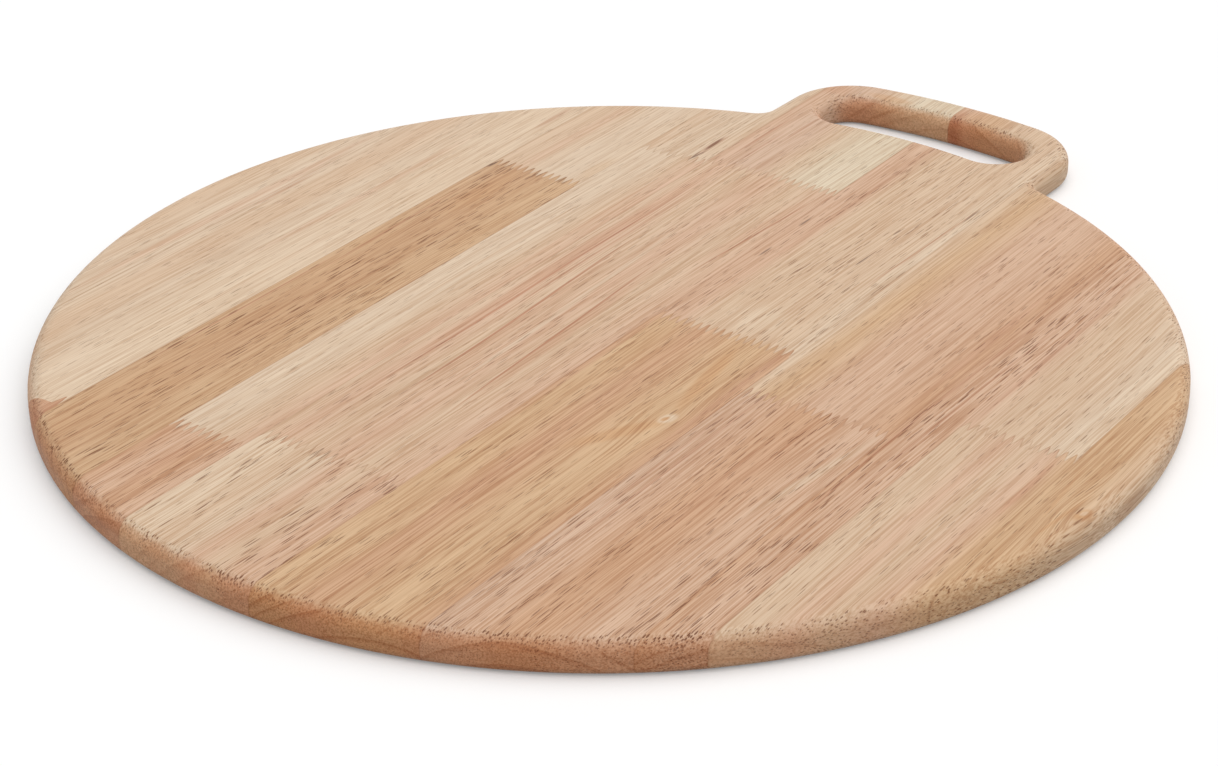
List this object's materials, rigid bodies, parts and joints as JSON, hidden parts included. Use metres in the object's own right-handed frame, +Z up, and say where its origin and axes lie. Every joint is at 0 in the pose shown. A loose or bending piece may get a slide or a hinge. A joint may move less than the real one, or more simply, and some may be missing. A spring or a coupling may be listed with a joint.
{
  "type": "pizza serving board",
  "caption": "Round one-layer wooden serving board with a loop handle, glued up from parallel staves whose blocks meet in zig-zag finger joints.",
  "frame": {"origin": "centre of the round board on its flat underside", "axes": "+Y from the board's centre to the middle of the handle, +Z up out of the top face, +X to the right seen from above with the handle pointing away"},
  "size_m": [0.4, 0.4445, 0.012],
  "materials": {
    "tan_wood": "oiled, satin",
    "cream_wood": "oiled, satin",
    "pink_wood": "oiled, satin",
    "brown_wood": "oiled, satin",
    "golden_wood": "oiled, satin"
  },
  "bodies": {
    "root": {"stave_01": "tan_wood", "stave_02_head": "tan_wood", "stave_02_foot": "brown_wood", "stave_03_head": "cream_wood", "stave_03_foot": "brown_wood", "stave_04_head": "tan_wood", "stave_04_middle": "cream_wood", "stave_04_foot": "pink_wood", "stave_05_head": "cream_wood", "stave_05_middle": "pink_wood", "stave_05_foot": "cream_wood", "stave_06_head": "tan_wood", "stave_06_foot": "tan_wood", "stave_07_head": "tan_wood", "stave_07_foot": "pink_wood", "stave_08": "pink_wood", "stave_09_head": "tan_wood", "stave_09_foot": "tan_wood", "stave_10": "golden_wood"}
  },
  "joints": []
}
